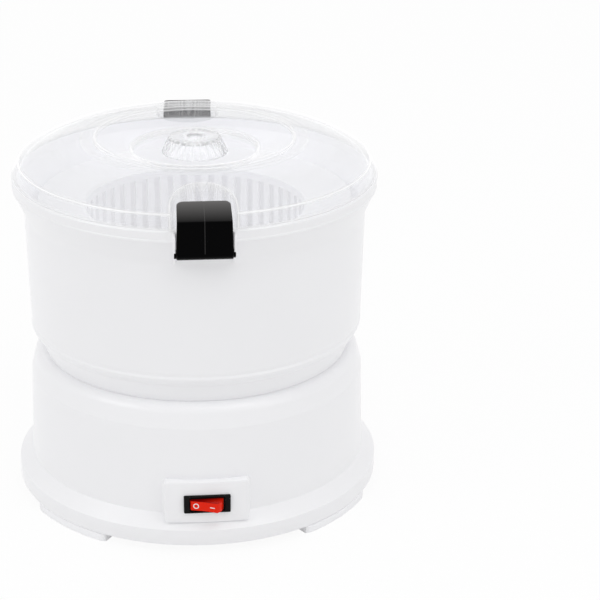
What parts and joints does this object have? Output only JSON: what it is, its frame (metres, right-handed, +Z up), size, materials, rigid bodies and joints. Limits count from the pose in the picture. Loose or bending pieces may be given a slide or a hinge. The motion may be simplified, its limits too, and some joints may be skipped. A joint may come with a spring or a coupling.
{
  "type": "electric potato peeler",
  "caption": "Countertop electric potato peeler: white belt-drive base with rocker switch, lift-off bowl, spinning slotted basket and peeling disc, clear domed lid held by black clasps.",
  "frame": {"origin": "centre of the plane on which the four feet stand", "axes": "+Z up along the spin axis; the switch and the front clasp are at -Y, the cord inlet and the rear clasp at +Y; +X is to the right seen from the front"},
  "size_m": [0.25, 0.2526, 0.2465],
  "materials": {
    "white_shell": "smooth satin-gloss moulded white plastic",
    "white_plate": "fine-textured white plastic",
    "basket_white": "smooth white plastic",
    "foot_grey": "soft pale grey foot",
    "steel": "plain bright steel",
    "black_gloss": "glossy black plastic",
    "black_matte": "matt black plastic",
    "rocker_red": "glossy red plastic with white marks",
    "brass": "plain brass tabs",
    "block_white": "natural white nylon",
    "lead_red": "red insulation",
    "magnet": "dark ferrite",
    "bronze": "sintered bronze",
    "carbon": "grey-black carbon",
    "copper": "lacquered copper",
    "rubber": "black rubber",
    "abrasive": "grey grit-coated sheet",
    "clear": "clear polystyrene, polished"
  },
  "bodies": {
    "base": {"base_housing": "white_shell", "bottom_plate": "white_plate", "feet": "foot_grey", "base_screws": "steel", "switch_housing": "black_gloss", "switch_terminals": "brass", "cord_bush": "black_matte", "terminal_block": "block_white", "inner_leads": "lead_red", "motor_bracket": "steel", "bracket_screws": "steel", "motor_can": "steel", "motor_end_cap": "black_matte", "field_magnets": "magnet", "motor_bushes": "bronze", "brushes": "carbon", "motor_screws": "steel", "drive_belt": "rubber", "shaft_bushes": "bronze", "thrust_washer": "steel", "shaft_seal": "rubber"},
    "rocker": {"switch_rocker": "rocker_red"},
    "motor_rotor": {"motor_shaft": "steel", "armature_core": "steel", "armature_windings": "copper", "commutator": "copper", "motor_pulley": "block_white"},
    "drive_shaft": {"output_shaft": "steel", "drive_pulley": "block_white", "retaining_clip": "steel", "drive_dog": "black_matte"},
    "bowl": {"bowl": "white_shell"},
    "basket": {"basket": "basket_white", "peeling_disc": "basket_white", "abrasive_ring": "abrasive"},
    "lid": {"lid": "clear", "lid_knob": "clear"},
    "front_clasp": {"front_clasp": "black_gloss"},
    "rear_clasp": {"rear_clasp": "black_gloss"}
  },
  "joints": [
    {"name": "rocker_press", "type": "hinge", "parent": "base", "child": "rocker", "pos_m": [0, -0.12, 0.035], "axis": [0, 0, 1], "range_deg": [0, 24]},
    {"name": "bowl_lift", "type": "slide", "parent": "base", "child": "bowl", "axis": [0, 0, 1], "range_m": [0, 0.05]},
    {"name": "lid_lift", "type": "slide", "parent": "bowl", "child": "lid", "axis": [0, 0, 1], "range_m": [0, 0.042]},
    {"name": "front_clasp_swing", "type": "hinge", "parent": "bowl", "child": "front_clasp", "pos_m": [0, -0.1225, 0.2084], "axis": [1, 0, 0], "range_deg": [0, 121]},
    {"name": "rear_clasp_swing", "type": "hinge", "parent": "bowl", "child": "rear_clasp", "pos_m": [0, 0.1225, 0.2084], "axis": [-1, 0, 0], "range_deg": [0, 121]},
    {"name": "basket_spin", "type": "hinge", "parent": "bowl", "child": "basket", "pos_m": [0, 0, 0.1307], "axis": [0, 0, 1], "continuous": true},
    {"name": "drive_spin", "type": "hinge", "parent": "base", "child": "drive_shaft", "pos_m": [0, 0, 0.03], "axis": [0, 0, 1], "continuous": true},
    {"name": "motor_spin", "type": "hinge", "parent": "base", "child": "motor_rotor", "pos_m": [0, 0.06, 0.05], "axis": [0, 0, 1], "continuous": true}
  ],
  "couplings": [
    {"joint": "front_clasp_swing", "follows": "lid_lift", "rad_per_m": 50},
    {"joint": "rear_clasp_swing", "follows": "lid_lift", "rad_per_m": 50},
    {"joint": "drive_spin", "follows": "basket_spin", "ratio": 1},
    {"joint": "motor_spin", "follows": "basket_spin", "ratio": 4}
  ]
}
